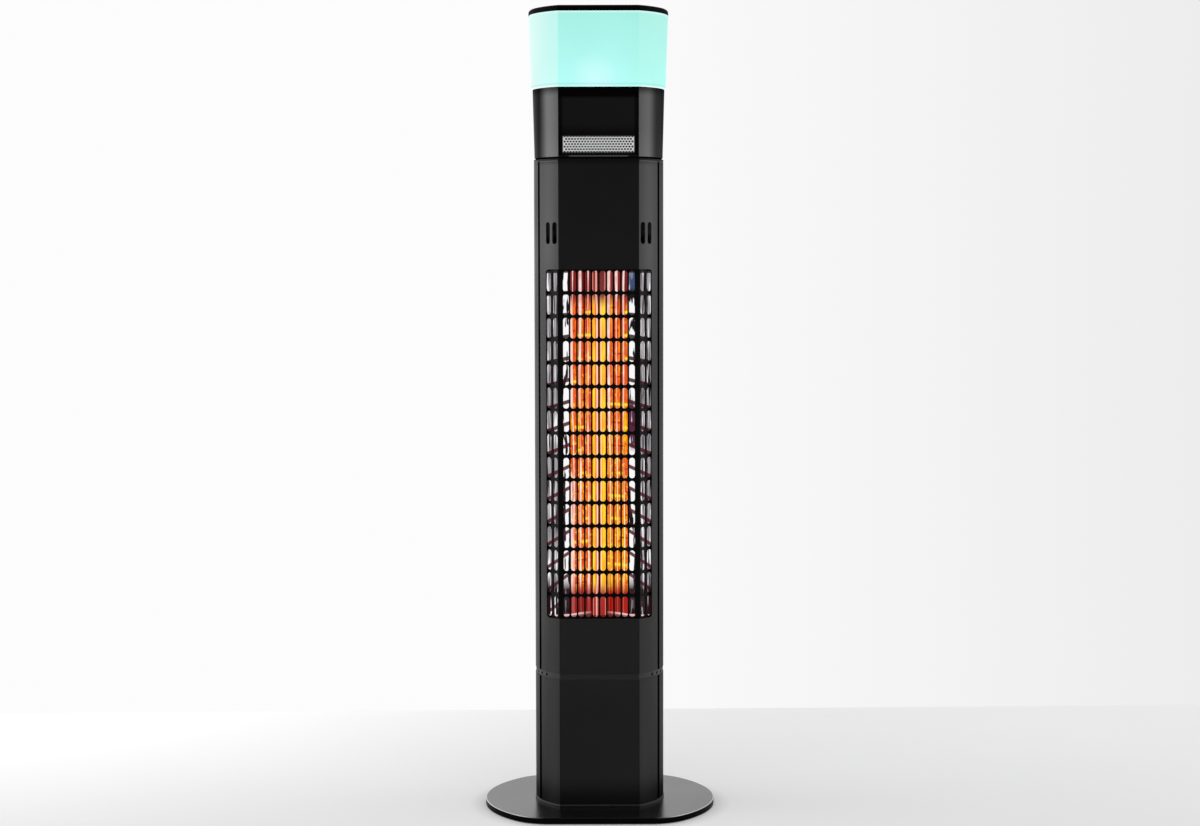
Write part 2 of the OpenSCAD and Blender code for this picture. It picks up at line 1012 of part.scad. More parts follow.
module heat_shield() {
  color("#a9abae")
    translate([0, 0, z_heater])
      linear_extrude(heater_h)
        difference() {
          translate([-shield_half, shield_front])
            square([2 * shield_half, shield_back - shield_front]);
          translate([shield_t - shield_half, shield_front - shield_t])
            square([2 * shield_half - 2 * shield_t, shield_back - shield_front]);
        }
}

module thermal_cutout() {
  color("#d8d2c2")
    translate([cutout_x, shield_back + cutout_t, z_heater_top - 2 * bay_low])
      union() {
        upright(cutout_t)
          circle(cutout_r);
        translate([0, plate_t - cutout_t, 0])
          upright(plate_t)
            square([3 * cutout_r, cutout_r], center=true);
      }
}

module quartz_tube() {
  color("#e9c9a8", 0.5)
    translate([0, tube_y, z_heater - tube_out])
      difference() {
        cylinder(h=heater_h + 2 * tube_out, r=tube_r);
        translate([0, 0, -over])
          cylinder(h=heater_h + 2 * tube_out + 2 * over, r=tube_r - tube_wall);
      }
}

module tube_caps() {
  color("#e6e1d6")
    both_ends()
      translate([0, tube_y, z_heater - tube_out + cap_seat - cap_h])
        difference() {
          cylinder(h=cap_h, r=cap_r);
          translate([0, 0, cap_h - cap_seat])
            cylinder(h=cap_seat + over, r=tube_r + cap_fit);
          translate([0, 0, cap_h - cap_seat - bracket_t])
            cylinder(h=over, r=lead_r + cap_fit);
        }
}

module tube_brackets() {
  color("#9b9da1")
    both_ends()
      translate([0, tube_y, z_heater - plate_t - bracket_gap])
        difference() {
          translate([-bracket_half, -bracket_d, 0])
            cube([2 * bracket_half, 2 * bracket_d, bracket_gap]);
          translate([bracket_t - bracket_half, -bracket_d - over, bracket_t])
            cube([2 * bracket_half - 2 * bracket_t, 2 * bracket_d + 2 * over, bracket_gap]);
          translate([0, 0, -over])
            cylinder(h=2 * over, r=cap_r + cap_fit);
        }
}

module heating_spiral() {
  color("#ff8a1e")
    translate([0, tube_y, spiral_z + (ribbon_w + gap) / 2])
      helix(spiral_r, spiral_rise, spiral_turns, spiral_rings, ribbon_t, ribbon_w);
}

module spiral_clamps() {
  low = z_heater - tube_out - bracket_t + cap_fit;
  color("#7c2a1c")
    translate([0, tube_y, 0]) {
      translate([0, 0, low])
        cylinder(h=spiral_z - low, r=lead_r);
      translate([0, 0, z_heater])
        cylinder(h=clamp_low_h, r=clamp_r);
      translate([0, 0, z_heater_top - clamp_h])
        cylinder(h=clamp_h, r=clamp_r);
      translate([0, 0, z_heater_top - clamp_h])
        cylinder(h=clamp_h + tube_out + bracket_t - cap_fit, r=lead_r);
    }
}

// Electronics

module electronics_bracket() {
  color("#8d9094")
    translate([0, 0, z_bay]) {
      translate([-bay_half, bay_y, 0])
        cube([2 * bay_half, bay_t, bay_h]);
      mirror_x()
        translate([spine_w / 2 - spine_t, bay_y, 0])
          cube([spine_t, spine_y - bay_y, bay_h]);
    }
}

module board_post_places() {
  for (x = [post_inset - board_half, board_half - post_inset], z = [post_inset, board_h - post_inset])
    translate([x, bay_y, z_bay + (bay_h - board_h) / 2 + z])
      children();
}

module board_posts() {
  color("#c8a95a")
    board_post_places()
      upright(post_h)
        circle(post_r);
}

module power_board() {
  color("#1d5a34")
    translate([-board_half, bay_y - post_h - board_t, z_bay + (bay_h - board_h) / 2])
      cube([2 * board_half, board_t, board_h]);
}

module board_parts() {
  face = bay_y - post_h - board_t;
  low = z_bay + (bay_h - board_h) / 2 + 2 * post_inset;
  high = low + relay[2] + 2 * post_inset + capacitor_r;
  color("#34363a")
    union() {
      translate([2 * post_inset - board_half, face - relay[1], low])
        cube(relay);
      translate([board_half - 2 * post_inset - transformer[0], face - transformer[1], low])
        cube(transformer);
      translate([2 * post_inset + capacitor_r - board_half, face, high])
        upright(capacitor_h)
          circle(capacitor_r);
    }
}

module terminal_block() {
  color("#e4e0d4")
    translate([-rear_x - terminal[0] / 2, screw_y - nut_r - terminal_gap - terminal[1], z_flange_top])
      cube(terminal);
}

// Rear parts

module at_rear(x) {
  translate([x, body_flat, z_pedestal + rear_h])
    rotate([-90, 0, 0])
      children();
}

module cable_gland() {
  color("#151516")
    at_rear(-rear_x)
      rotate_extrude()
        polygon([
          [inlet_r, -gland_in], [gland_r, -gland_in], [gland_r, 0], [gland_flange_r, 0],
          [gland_flange_r, gland_flange_t], [gland_flange_r - gland_step, gland_flange_t],
          [inlet_r + gland_step, gland_flange_t + gland_dome_h], [inlet_r, gland_flange_t + gland_dome_h]
        ]);
}

module gland_nut() {
  color("#1a1a1b")
    at_rear(-rear_x)
      translate([0, 0, -wall - gland_nut_t])
        difference() {
          cylinder(h=gland_nut_t, r=gland_nut_r, $fn=6);
          translate([0, 0, -over])
            cylinder(h=2 * over + gland_nut_t, r=gland_r + cap_fit);
        }
}

// The switch is drawn with its mouth up and the tower's +Z along -Y, as at_rear turns it
module switch_frame() {
  body_w = switch_w - 2 * switch_lip;
  body_h = switch_h - 2 * switch_lip;
  color("#0e0e0f")
    at_rear(rear_x)
      difference() {
        union() {
          translate([-switch_w / 2, -switch_h / 2, 0])
            cube([switch_w, switch_h, switch_rim]);
          translate([-body_w / 2, -body_h / 2, -switch_depth])
            cube([body_w, body_h, switch_depth + switch_rim]);
        }
        translate([switch_side - switch_w / 2, switch_side - switch_h / 2, switch_floor - switch_depth])
          cube([switch_w - 2 * switch_side, switch_h - 2 * switch_side, switch_depth + over]);
        translate([-switch_w, 0, -rocker_set])
          rotate([0, 90, 0])
            cylinder(h=2 * switch_w, r=trunnion_r + running);
      }
}

module switch_rocker() {
  half_w = switch_w / 2 - switch_side - rocker_play;
  color("#1c1c1d")
    at_rear(rear_x)
      translate([0, 0, -rocker_set])
        rotate([rock_a, 0, 0])
          rotate([90, 0, 90])
            union() {
              translate([0, 0, -half_w])
                linear_extrude(2 * half_w)
                  polygon([
                    [-rocker_half, rocker_rise], [0, rocker_rise - rocker_dip], [rocker_half, rocker_rise],
                    [rocker_half, 0], [rocker_waist, -rocker_deep],
                    [-rocker_waist, -rocker_deep], [-rocker_half, 0]
                  ]);
              translate([0, 0, -half_w - trunnion_out])
                cylinder(h=2 * half_w + 2 * trunnion_out, r=trunnion_r);
            }
}

// Head

module head_shell() {
  color("#262627")
    difference() {
      head_form(z_head + seam_h, z_lamp, 0);
      head_form(z_head - over, z_lamp + over, shell_t);
      translate([-panel_half - panel_gap, -2 * body_r, z_head - over])
        cube([2 * panel_half + 2 * panel_gap, 2 * body_r, head_h + 2 * over]);
    }
}

module front_panel() {
  h = head_h / cos(head_a) - gap;
  color("#0a0a0b")
    on_front()
      difference() {
        translate([-panel_half, 0, 0])
          rotate([90, 0, 90])
            linear_extrude(2 * panel_half)
              polygon([
                [panel_chamfer, panel_lift], [0, panel_lift + panel_chamfer],
                [0, h], [panel_t, h], [panel_t, panel_lift]
              ]);
        translate([-grille_half, -over, grille_low])
          cube([2 * grille_half, 2 * over, grille_h]);
      }
}

module speaker_grille() {
  w = grille_half + grille_side;
  cols = floor(2 * grille_half / grille_pitch);
  row_h = grille_pitch * sin(60);
  rows = floor(grille_h / row_h);
  color("#c9cacc")
    on_front()
      translate([0, panel_t + grille_t, 0])
        upright(grille_t)
          difference() {
            translate([-w, grille_low - grille_rim])
              square([2 * w, grille_h + 2 * grille_rim]);
            for (j = [0:rows - 1], k = [0:cols - 1 - j % 2])
              translate([
                (k - (cols - 1 - j % 2) / 2) * grille_pitch,
                grille_low + grille_h / 2 + (j - (rows - 1) / 2) * row_h
              ])
                circle(grille_hole_r);
          }
}

module driver_places() {
  for (s = [-1, 1])
    at_driver(s)
      children();
}

// Space of a driver: its axis is +Z, which points into the head
module at_driver(s) {
  on_front()
    translate([s * driver_x, driver_y, driver_z])
      rotate([-90, 0, 0])
        children();
}

module speaker_baffle() {
  color("#1a1a1b")
    on_front()
      difference() {
        translate([-baffle_half, panel_t, baffle_low])
          cube([2 * baffle_half, baffle_depth + baffle_t, baffle_h]);
        translate([baffle_rim - baffle_half, panel_t - over, baffle_low + baffle_rim])
          cube([2 * baffle_half - 2 * baffle_rim, baffle_depth + over, baffle_h - 2 * baffle_rim]);
        for (s = [-1, 1])
          translate([s * driver_x, driver_y + over, driver_z])
            upright(3 * over)
              circle(driver_hole_r);
      }
}

module speaker_baskets() {
  in = basket_r - basket_lip;
  color("#2b2c2f")
    driver_places()
      rotate_extrude()
        polygon([
          [in, 0], [basket_r, 0], [basket_r, basket_lip_t], [in + basket_wall, basket_lip_t],
          [in + basket_wall, basket_depth], [coil_hole_r, basket_depth],
          [coil_hole_r, basket_depth - basket_wall], [in, basket_depth - basket_wall]
        ]);
}

module speaker_magnets() {
  d = basket_depth;
  back = d + magnet_d + magnet_back;
  color("#6a6c70")
    driver_places()
      rotate_extrude()
        polygon([
          [0, d], [pole_r, d], [pole_r, d + magnet_d], [coil_hole_r, d + magnet_d],
          [coil_hole_r, d], [magnet_r, d], [magnet_r, back], [0, back]
        ]);
}

module speaker_surrounds() {
  in = basket_r - basket_lip;
  color("#1e1e1f")
    driver_places()
      rotate_extrude()
        polygon([
          [surround_in_r, cone_front], [(surround_in_r + in) / 2, 0], [in, cone_front],
          [in, cone_front + surround_t], [surround_in_r, cone_front + surround_t]
        ]);
}

module cone() {
  color("#3c3d40")
    rotate_extrude()
      polygon([
        [0, dust_d], [cone_neck_r - cone_wall, cone_neck_d - 2 * cone_wall],
        [cone_r - cone_wall, cone_front], [cone_r, cone_front], [cone_r, cone_front + cone_edge],
        [cone_neck_r, cone_neck_d], [cone_neck_r, coil_end], [cone_neck_r - cone_wall, coil_end],
        [cone_neck_r - cone_wall, cone_neck_d - cone_wall / 2], [0, dust_d + cone_wall]
      ]);
}

module left_cone() {
  at_driver(-1)
    cone();
}

module right_cone() {
  at_driver(1)
    cone();
}

module control_post_places() {
  for (x = [post_inset - control_half, control_half - post_inset], z = [post_inset, control_h - post_inset])
    translate([x, panel_t + control_post, control_low + z])
      children();
}

module control_posts() {
  color("#1a1a1b")
    on_front()
      control_post_places()
        upright(control_post)
          circle(control_post_r);
}

module control_board() {
  color("#1d5a34")
    on_front()
      translate([-control_half, panel_t + control_post, control_low])
        cube([2 * control_half, board_t, control_h]);
}

// Lamp

module lamp_base() {
  color("#1c1c1d")
    difference() {
      head_form(z_lamp - lamp_base_t, z_lamp + lamp_base_t, shell_t + gap);
      translate([0, 0, z_lamp - over])
        cylinder(h=2 * over, r=lamp_wire_r);
    }
}

module led_board() {
  color("#f2f2f0")
    translate([0, 0, z_lamp + lamp_base_t])
      difference() {
        cylinder(h=led_board_t, r=led_board_r);
        translate([0, 0, -over])
          cylinder(h=2 * over, r=lamp_wire_r);
      }
}

module leds() {
  color("#fff6c8")
    for (k = [0:led_count - 1])
      rotate([0, 0, 360 * k / led_count])
        translate([led_circle_r - led_size / 2, -led_size / 2, z_lamp + lamp_base_t + led_board_t])
          cube([led_size, led_size, led_t]);
}

module lamp_post() {
  color("#f0f0ee")
    translate([0, 0, z_lamp + lamp_base_t])
      difference() {
        union() {
          cylinder(h=lamp_h - lamp_base_t - lamp_base_t, r=lamp_post_r);
          translate([0, 0, led_board_t])
            cylinder(h=led_board_t, r=lamp_wire_r + lamp_base_t);
        }
        translate([0, 0, -over])
          cylinder(h=lamp_h, r=lamp_post_r - shell_t);
      }
}

module lamp_diffuser() {
  color("#9ff2df", 0.85)
    difference() {
      lamp_form(z_lamp, z_lid, 0);
      lamp_form(z_lamp - over, z_lid + over, shell_t);
    }
}

module top_lid() {
  color("#0f0f10")
    union() {
      translate([0, 0, z_lid])
        rimmed_slab(lid_r, lid_flat, lid_h, lid_round);
      lamp_form(z_lid - lamp_base_t, z_lid + lamp_base_t, shell_t + gap);
    }
}

base_plate();
base_feet();
base_screws();
base_nuts();
foot_flange();
plinth_ring();
tip_switch();
tip_plunger();
tip_spring();
pedestal_front();
pedestal_rear();
pedestal_rails();
vent_ring();
front_cover();
rear_cover();
main_rails();
spine();
collar();
cover_screws();
guard_grille();
reflector();
reflector_plates();
heat_shield();
thermal_cutout();
quartz_tube();
tube_caps();
tube_brackets();
heating_spiral();
spiral_clamps();
electronics_bracket();
board_posts();
power_board();
board_parts();
terminal_block();
cable_gland();
gland_nut();
switch_frame();
switch_rocker();
head_shell();
front_panel();
speaker_grille();
speaker_baffle();
speaker_baskets();
speaker_magnets();
speaker_surrounds();
left_cone();
right_cone();
control_board();
control_posts();
lamp_base();
led_board();
leds();
lamp_post();
lamp_diffuser();
top_lid();
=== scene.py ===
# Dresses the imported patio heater: a camera, a procedural look for each CAD node, and a white studio.
# Metres, in the frame of the CAD model: +Z up, the guard window faces -Y. No CAD node is replaced.
import json
import math

import bpy
from mathutils import Matrix, Vector

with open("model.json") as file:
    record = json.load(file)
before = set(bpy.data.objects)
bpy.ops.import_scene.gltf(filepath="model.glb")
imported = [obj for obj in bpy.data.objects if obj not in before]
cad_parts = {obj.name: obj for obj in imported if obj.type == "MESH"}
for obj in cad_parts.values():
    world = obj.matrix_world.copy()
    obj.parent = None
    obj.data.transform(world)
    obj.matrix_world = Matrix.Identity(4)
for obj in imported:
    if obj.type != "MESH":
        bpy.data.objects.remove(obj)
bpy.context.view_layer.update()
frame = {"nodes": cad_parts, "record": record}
scene = bpy.context.scene
scene.view_settings.view_transform = "Standard"


def heights(node):
    """Lowest and highest point of a CAD node."""
    levels = [corner[2] for corner in frame["nodes"][node].bound_box]
    return min(levels), max(levels)


# Camera, solved from the curved edges in the photo: angles in degrees, lens and sensor in millimetres
CAMERA_AT = Vector((0.0013, -3.206, 0.7719))
PITCH_DOWN, ROLL = 3.916, -0.11
LENS, SENSOR = 68.8, 36
NEAREST = 0.05

PLATE_TOP = heights("base_plate")[1]
COVER_TOP = heights("front_cover")[1]
HEAD_LOW = heights("head_shell")[0]
LAMP_LOW, LAMP_TOP = heights("lamp_diffuser")
# Opening of the speaker grille: its foot, its top and half of its width
GRILLE_LOW, GRILLE_TOP, GRILLE_HALF = 0.913, 0.9345, 0.0475
# Halves of widths: flat front of the housings and of the lamp, over the rails, mouth of the parabola
FLAT_HALF, LAMP_FLAT, RAIL_HALF, DISH_HALF = 0.0535, 0.0545, 0.085, 0.0405
# Guard: its reach past the window, the pitch of its rows and of its columns, and how far out its sides stand
GUARD_MARGIN, ROW, COLUMN, GUARD_SIDE = 0.004, 0.03207, 0.01005, 0.071
WINDOW_LOW = heights("guard_grille")[0] + GUARD_MARGIN

# The spiral is red under and over these heights, and changes over twice SOFT
HOT_LOW, HOT_TOP, SOFT = 0.311, 0.709, 0.012
# Height at which the guard's bars in the painted reflection on the lips lie level, and how fast they tilt
# under it
EYE, TILT = 0.76, 1.65

WHITE = (1, 1, 1)
DUST = (0.09, 0.09, 0.092)
EDGE_SAMPLES = 4
# Range that the middle part of a noise falls in
NOISE_LOW, NOISE_HIGH = 0.3, 0.7

# Studio: strength of the world as light, and as the wall that is seen on the left and on the right
SKY_LIGHT, WALL_LEFT, WALL_RIGHT = 0.45, 0.975, 0.84
# Places around which the floor's painted light and the lamp are brightest
FLOOR_BRIGHT = (-1.5, 1.2, 0)
LAMP_BRIGHT = (-0.004, -0.078, 1.012)


def linear(*screen):
    """A colour read as 0 to 255 on screen, as linear values."""
    shares = [value / 255 for value in screen]
    return tuple(s / 12.92 if s <= 0.04045 else ((s + 0.055) / 1.055) ** 2.4 for s in shares)


camera = bpy.data.objects.new("camera", bpy.data.cameras.new("camera"))
scene.collection.objects.link(camera)
camera.location = CAMERA_AT
pitched = Matrix.Rotation(math.radians(90 - PITCH_DOWN), 3, "X")
camera.rotation_euler = (pitched @ Matrix.Rotation(math.radians(ROLL), 3, "Z")).to_euler()
camera.data.lens = LENS
camera.data.sensor_width = SENSOR
camera.data.clip_start = NEAREST
scene.camera = camera


class Value:
    """What a node gives: a number, colour, place or shader. Numbers have the usual arithmetic."""

    def __init__(self, tree, socket):
        self.tree, self.socket = tree, socket

    def __add__(self, other):
        return self.tree.math("ADD", self, other)

    def __sub__(self, other):
        return self.tree.math("SUBTRACT", self, other)

    def __rsub__(self, other):
        return self.tree.math("SUBTRACT", other, self)

    def __mul__(self, other):
        return self.tree.math("MULTIPLY", self, other)

    def __truediv__(self, other):
        return self.tree.math("DIVIDE", self, other)

    def __abs__(self):
        return self.tree.math("ABSOLUTE", self)


class Tree:
    """The nodes of a material or world, with short calls for what the looks here share."""

    def __init__(self, owner, output, coordinates="Object"):
        owner.use_nodes = True
        self.owner = owner
        self.nodes, self.links = owner.node_tree.nodes, owner.node_tree.links
        self.nodes.clear()
        self.surface = self.nodes.new(output).inputs["Surface"]
        self.place = self.add("TexCoord", coordinates)
        parts = self.nodes.new("ShaderNodeSeparateXYZ")
        self.plug(self.place, parts.inputs[0])
        self.x, self.y, self.z = (Value(self, socket) for socket in parts.outputs)

    def plug(self, value, socket):
        """Links a Value to an input, or writes a plain value into it."""
        if isinstance(value, Value):
            self.links.new(value.socket, socket)
        elif socket.type == "RGBA":
            socket.default_value = (*value, 1)
        else:
            socket.default_value = value

    def fill(self, node, result, **inputs):
        """Fills a node's inputs, with _ for a space in their names, and returns one of its outputs."""
        for name, value in inputs.items():
            self.plug(value, node.inputs[name.replace("_", " ")])
        return Value(self, node.outputs[result])

    def add(self, kind, result, **inputs):
        return self.fill(self.nodes.new("ShaderNode" + kind), result, **inputs)

    def math(self, operation, first, second=0.0):
        node = self.nodes.new("ShaderNodeMath")
        node.operation = operation
        self.plug(first, node.inputs[0])
        self.plug(second, node.inputs[1])
        return Value(self, node.outputs[0])

    def distance(self, point):
        node = self.nodes.new("ShaderNodeVectorMath")
        node.operation = "DISTANCE"
        self.plug(self.place, node.inputs[0])
        self.plug(point, node.inputs[1])
        return Value(self, node.outputs["Value"])

    def ramp(self, value, low, high, to_low, to_high, smooth=False):
        """Goes from one result to the other while the value goes from low to high."""
        node = self.nodes.new("ShaderNodeMapRange")
        if smooth:
            node.interpolation_type = "SMOOTHSTEP"
        ends = {"From_Min": low, "From_Max": high, "To_Min": to_low, "To_Max": to_high}
        return self.fill(node, "Result", Value=value, **ends)

    def step(self, value, at, soft, before=0, after=1, smooth=False):
        """Goes from one result to the other at one value, with a soft edge."""
        return self.ramp(value, at - soft, at + soft, before, after, smooth)

    def band(self, value, low, high, soft):
        """1 between two values, with soft edges."""
        rise = self.step(value, low, soft, 0, 1, smooth=True)
        return rise * self.step(value, high, soft, 1, 0, smooth=True)

    def noise(self, scale, detail=3, stretch=None, roughness=0.5, shift=0.0):
        place = self.place
        if stretch:
            place = self.add("Mapping", "Vector", Vector=place, Scale=stretch, Location=(shift,) * 3)
        look = {"Scale": scale, "Detail": detail, "Roughness": roughness}
        return self.add("TexNoise", "Fac", Vector=place, **look)

    def spot(self, scale, detail, low, high):
        """Soft noise that runs between two values."""
        return self.ramp(self.noise(scale, detail), NOISE_LOW, NOISE_HIGH, low, high)

    def cell_noise(self, cell, height, shift):
        """Slow noise along the height, another one for each cell number."""
        place = self.add("CombineXYZ", "Vector", X=cell * 3.7, Y=shift, Z=height)
        return self.add("TexNoise", "Fac", Vector=place, Scale=1, Detail=2)

    def mix(self, share, first, second):
        """The first colour where the share is 0, the second where it is 1."""
        node = self.nodes.new("ShaderNodeMix")
        node.data_type = "RGBA"
        self.plug(share, node.inputs["Factor"])
        for colour, socket in zip((first, second), (s for s in node.inputs if s.type == "RGBA")):
            self.plug(colour, socket)
        return Value(self, next(s for s in node.outputs if s.type == "RGBA"))

    def paint(self, under, colour, mask):
        """A colour over another where the mask is 1."""
        return self.mix(mask, under, colour)


class Look(Tree):
    """A material with one Principled shader."""

    def __init__(self, name):
        super().__init__(bpy.data.materials.new(name), "ShaderNodeOutputMaterial")
        self.shader = self.nodes.new("ShaderNodeBsdfPrincipled")
        self.links.new(self.shader.outputs["BSDF"], self.surface)

    def set(self, **inputs):
        self.fill(self.shader, "BSDF", **inputs)

    def bump(self, *layers, edge=0.0):
        """Each layer is (height, depth in metres). An edge radius rounds the shading of hard edges."""
        before = {}
        if edge:
            node = self.nodes.new("ShaderNodeBevel")
            node.samples = EDGE_SAMPLES
            before = {"Normal": self.fill(node, "Normal", Radius=edge)}
        for height, depth in layers:
            bent = self.add("Bump", "Normal", Strength=1, Distance=depth, Height=height, **before)
            before = {"Normal": bent}
        self.set(**before)


def shaded(colour, share):
    """A colour made darker or paler."""
    return tuple(part * share for part in colour)


def coated(
    name, colour, rough, grain=1100, depth=0.00002, edge=0.0005,
    level=0.5, vary=0.06, dusty=0.12, glint=None,
):
    """Powder coat or moulded plastic: a fine grain, slow patches in the roughness, and faint dust.

    The level of its shine is a number, or a function that paints the shine by place from the look. A glint
    is a function that makes the strength of a painted highlight.
    """
    t = Look(name)
    slow = t.noise(9, 4)
    dust = t.ramp(t.noise(420, 5, roughness=0.7), 0.62, 0.8, 0, 1, smooth=True)
    t.set(Base_Color=t.mix(dust * dusty, t.mix(slow, colour, shaded(colour, 1.35)), DUST))
    t.set(Specular_IOR_Level=level(t) if callable(level) else level)
    if glint:
        t.set(Emission_Color=WHITE, Emission_Strength=glint(t))
    t.set(Roughness=t.ramp(slow + dust * 0.3, 0.3, 0.9, rough - vary, rough + vary))
    t.bump((t.noise(grain, 2), depth), edge=edge)
    return t


def metal(name, colour, rough, stretch=(1, 1, 30)):
    """Drawn or brushed metal: fine lines across the drawing direction, and stains."""
    t = Look(name)
    lines, stain = t.noise(700, stretch=stretch), t.noise(30, 4)
    t.set(Base_Color=t.mix(stain, shaded(colour, 0.8), colour), Metallic=1.0)
    t.set(Roughness=t.ramp(lines + stain, 0.6, 1.4, rough - 0.08, rough + 0.08))
    t.bump((lines, 0.00001), edge=0.0003)
    return t


def matte(name, colour, rough, grain=500, depth=0.00003):
    """Rubber, ceramic, boards and inner plastic: a grain, and patches of tone."""
    t = Look(name)
    t.set(Base_Color=t.mix(t.noise(25, 4), shaded(colour, 0.75), colour))
    t.set(Roughness=t.spot(80, 3, rough - 0.08, rough + 0.08))
    t.bump((t.noise(grain, 4), depth))
    return t


def glowing(name, low, middle, top, z_low, z_top, strength=1.0):
    """Heat glow by height: one colour under z_low, one over z_top, and two mottled ones between."""
    t = Look(name)
    body = t.mix(t.noise(90, 2), *middle)
    body = t.mix(t.step(t.z, z_low, SOFT, smooth=True), low, body)
    body = t.mix(t.step(t.z, z_top, SOFT, smooth=True), body, top)
    t.set(Base_Color=(0.02, 0.01, 0.01), Roughness=0.6, Emission_Color=body, Emission_Strength=strength)
    t.bump((t.noise(700), 0.00002))
    return t


def housing_painted_shine(t):
    """Painted shine: the specular level is lowered at the tower's foot, which mirrors its own dark plate,
    most of all on the outer parts of the arcs.
    """
    across = abs(t.x)
    outer = t.ramp(t.z, 0.06, 0.45, 1, 0) * t.ramp(across, 0.062, 0.081, 0, 0.85)
    foot = t.ramp(t.z, 0.015, 0.06, 0.35, 1, smooth=True)
    # Painted shade: the strips behind the rails shine less, the right one most
    strips = t.step(across, RAIL_HALF, 0.0005, 1, 0.49) * t.step(t.x, RAIL_HALF, 0.0005, 1, 0.66)
    top = t.ramp(t.z, 0.894, 0.904, 1, 0.3, smooth=True)
    # Painted shine: the flats are paler towards the pedestal
    on_arc = t.ramp(across, FLAT_HALF, FLAT_HALF + 0.0015, 0, 1)
    flats = t.ramp(t.z, 0.24, 0.77, 1.7, 0.62) * (1.0 - on_arc) + on_arc
    level = t.ramp(t.z, 0.7, 0.765, 0.42, 0.53) * t.ramp(t.z, 0.79, 0.9, 1, 0.85)
    return (1.0 - outer) * foot * strips * top * flats * level


def housing_painted_glint(t):
    """Painted highlight: light caught by the main cover's upper edge, on the arcs."""
    arcs = t.ramp(abs(t.x), 0.055, 0.058, 0, 0.055)
    return arcs * t.band(t.z, COVER_TOP - 0.0016, COVER_TOP - 0.0004, 0.0003)


def head_painted_shine(t):
    """Painted shine: the specular level is high on the head's arcs next to the panel, and falls off under
    the lamp and towards the sides.
    """
    left = t.ramp(t.x, -0.0815, -0.0685, 0.012, 0.76, smooth=True)
    right = t.ramp(t.x, 0.067, 0.08, 0.9, 0.13, smooth=True) * t.ramp(t.x, 0.0785, 0.087, 1, 0.05)
    foot = t.ramp(t.z, HEAD_LOW + 0.001, 0.945, 1.25, 1)
    top = t.ramp(t.z, 0.988, 1.0, 1, 0.25, smooth=True)
    return left * right * foot * top


def panel_painted_shine(t):
    """Painted shade in the shine: the panel's specular level is lowest under the lamp, along its edges and
    above the grille.
    """
    low = t.ramp(t.z, 0.936, 0.953, 0.15, 0.42, smooth=True)
    top = t.ramp(t.z, 0.984, 0.99, 1, 0.02, smooth=True)
    return low * top * t.ramp(abs(t.x), GRILLE_HALF, 0.0505, 1, 0.3)


def panel_painted_glint(t):
    """Painted highlight: light caught by the chamfer along the panel's lower edge."""
    middle = t.ramp(abs(t.x), 0.038, 0.042, 0.062, 0.006)
    return middle * t.ramp(t.z, HEAD_LOW + 0.0012, HEAD_LOW + 0.0018, 1, 0)


def base_painted_shine(t):
    """Painted shine: the plate's top, which mirrors the wall at a low angle, gets a high specular level; its
    rim and the bevel's front get almost none and stay black.
    """
    across = abs(t.x)
    on_top = t.ramp(t.z, PLATE_TOP - 0.00015, PLATE_TOP - 0.00005, 0, 1)
    top = on_top * t.ramp(across, 0.073, 0.09, 0.3, 0.92, smooth=True)
    on_bevel = t.band(t.z, PLATE_TOP - 0.0011, PLATE_TOP - 0.0001, 0.00005)
    return top + on_bevel * t.ramp(across, 0.075, 0.1, 0.01, 0.7) + 0.01


def base_painted_glint(t):
    """Painted highlight: light caught by the bevel on both sides of the plate."""
    sides = t.ramp(abs(t.x), 0.08, 0.11, 0, 0.48, smooth=True)
    return sides * t.band(t.z, PLATE_TOP - 0.0009, PLATE_TOP - 0.00015, 0.00005)


def collar_painted_shine(t):
    """Painted shade: the specular level drops to zero in the shadow gap between collar and head, which stays
    black.
    """
    return t.ramp(t.z, 0.9038, 0.9044, 0.12, 0)


def grille_steel(name):
    """Bright perforated sheet: a painted glow over its opening, and painted shade along the edges of the
    opening and where the panel covers it.
    """
    t = Look(name)
    lines, stain = t.noise(900, stretch=(20, 1, 1)), t.noise(60, 4)
    # Mask of the painted light: painted glow in the opening, painted shade at its edges and behind the panel
    open_part = t.band(t.z, GRILLE_LOW, GRILLE_TOP, 0.0008)
    lit = open_part * t.ramp(abs(t.x), GRILLE_HALF, GRILLE_HALF + 0.0013, 1, 0.1)
    sheet = t.mix(stain, (0.86, 0.86, 0.865), WHITE)
    t.set(Base_Color=t.mix(lit, (0.03, 0.03, 0.03), sheet), Metallic=0.1)
    t.set(Roughness=t.ramp(lines + stain, 0.6, 1.4, 0.3, 0.46), Specular_IOR_Level=lit * 0.6)
    t.set(Emission_Color=WHITE, Emission_Strength=lit * 0.2)
    t.bump((lines, 0.00001), edge=0.0002)
    return t


def hot_zone(t):
    """1 where the spiral is at full heat, 0 over and under it."""
    return t.band(t.z, HOT_LOW, HOT_TOP, SOFT)


